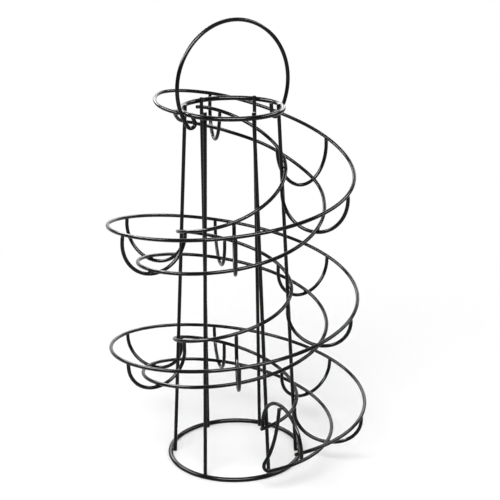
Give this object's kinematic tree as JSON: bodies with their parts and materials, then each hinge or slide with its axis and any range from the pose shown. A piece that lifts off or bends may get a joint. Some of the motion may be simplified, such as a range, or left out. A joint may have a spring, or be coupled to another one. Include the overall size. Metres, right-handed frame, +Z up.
{
  "type": "rolling egg rack",
  "caption": "Free-standing spiral rack of black coated wire that rolls eggs down a three-rail channel round a tapered core to a stop, with a carrying bail.",
  "frame": {"origin": "on the floor, under the middle of the rack's outline as seen from above; the core's upright axis stands at x -3.54 mm, y -1.58 mm", "axes": "+Z up along the core's axis; -Y faces the viewer of the picture, and +X is to the viewer's right, over the side where the egg stop opens"},
  "size_m": [0.2134, 0.2088, 0.3669],
  "materials": {
    "core_wire": "semi-gloss black coat",
    "rail_wire": "semi-gloss black coat",
    "bracket_wire": "semi-gloss black coat",
    "handle_wire": "semi-gloss black coat"
  },
  "bodies": {
    "rack": {"base_ring": "core_wire", "top_ring": "core_wire", "upright_1": "core_wire", "upright_2": "core_wire", "upright_3": "core_wire", "upright_4": "core_wire", "upright_5": "core_wire", "upright_6": "core_wire", "outer_rail": "rail_wire", "inner_rail": "rail_wire", "lower_rail": "rail_wire", "bracket_01": "bracket_wire", "bracket_02": "bracket_wire", "bracket_03": "bracket_wire", "bracket_04": "bracket_wire", "bracket_05": "bracket_wire", "bracket_06": "bracket_wire", "bracket_07": "bracket_wire", "bracket_08": "bracket_wire", "bracket_09": "bracket_wire", "bracket_10": "bracket_wire", "bracket_11": "bracket_wire", "bracket_12": "bracket_wire", "bracket_13": "bracket_wire", "bracket_14": "bracket_wire", "bracket_15": "bracket_wire", "egg_stop_arch": "bracket_wire"},
    "handle": {"carry_handle": "handle_wire"}
  },
  "joints": [
    {"name": "handle_swing", "type": "hinge", "parent": "rack", "child": "handle", "pos_m": [-0.00354, -0.00158, 0.29676], "axis": [0.8572, 0.515, 0], "range_deg": [-55, 55]}
  ]
}
